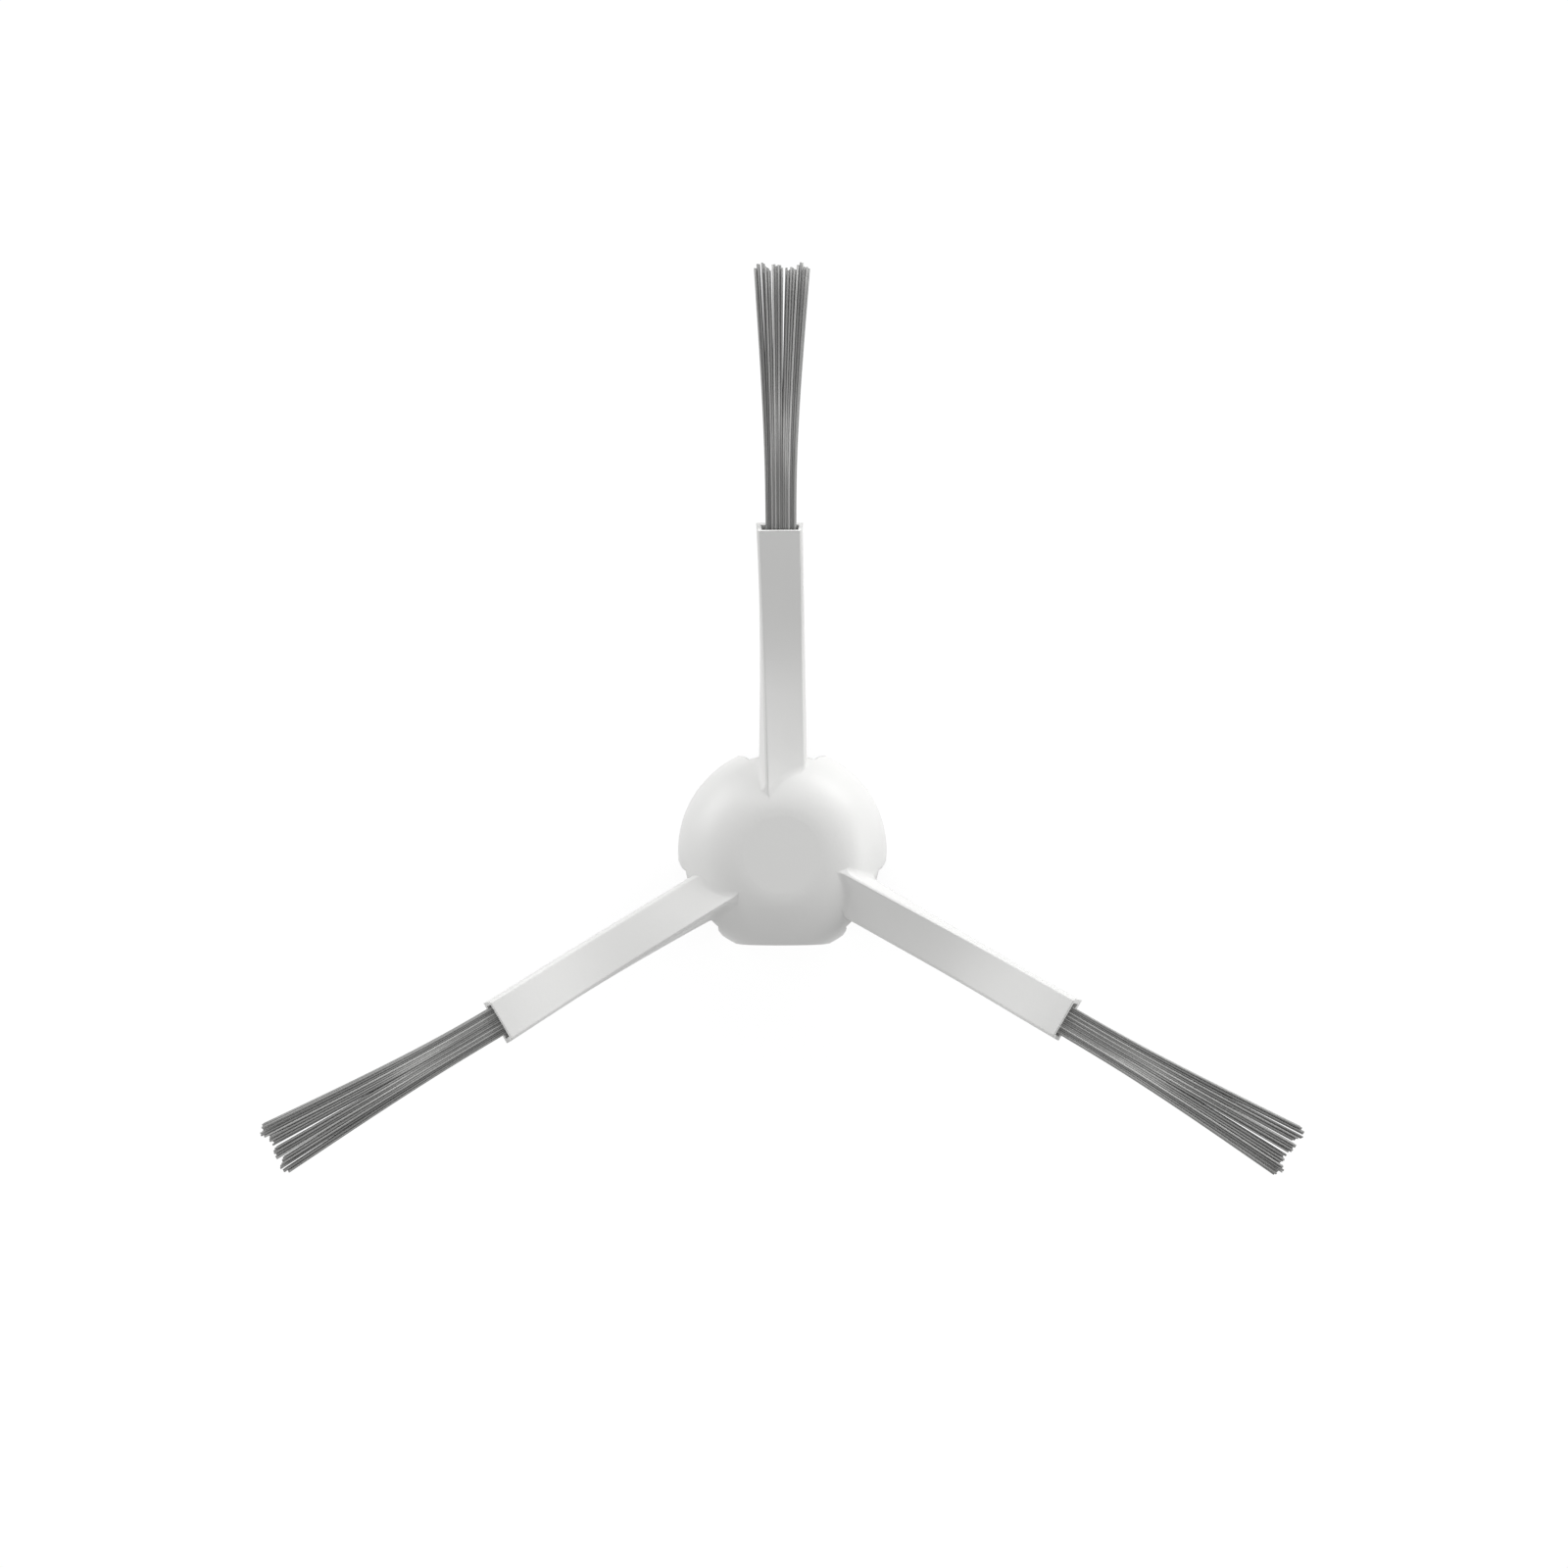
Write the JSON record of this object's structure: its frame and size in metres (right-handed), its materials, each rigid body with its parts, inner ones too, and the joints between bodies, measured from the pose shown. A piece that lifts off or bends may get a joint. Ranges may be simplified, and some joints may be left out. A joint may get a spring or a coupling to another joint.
{
  "type": "robot vacuum side brush",
  "caption": "Clip-on side brush for a robot vacuum: a domed hub with a drive socket and twisted arms that carry fanned bristle tufts.",
  "frame": {"origin": "centre of the drive socket's mouth, on the hub's axis in the plane of its rim", "axes": "+Z along the hub's axis, away from the robot to the floor side; +Y along the first arm"},
  "size_m": [0.1426, 0.124, 0.0191],
  "materials": {
    "body_plastic": "smooth satin white moulding",
    "bristle_nylon": "drawn grey nylon filament"
  },
  "bodies": {
    "root": {"brush_body": "body_plastic", "bristle_tuft_top": "bristle_nylon", "bristle_tuft_left": "bristle_nylon", "bristle_tuft_right": "bristle_nylon"}
  },
  "joints": []
}
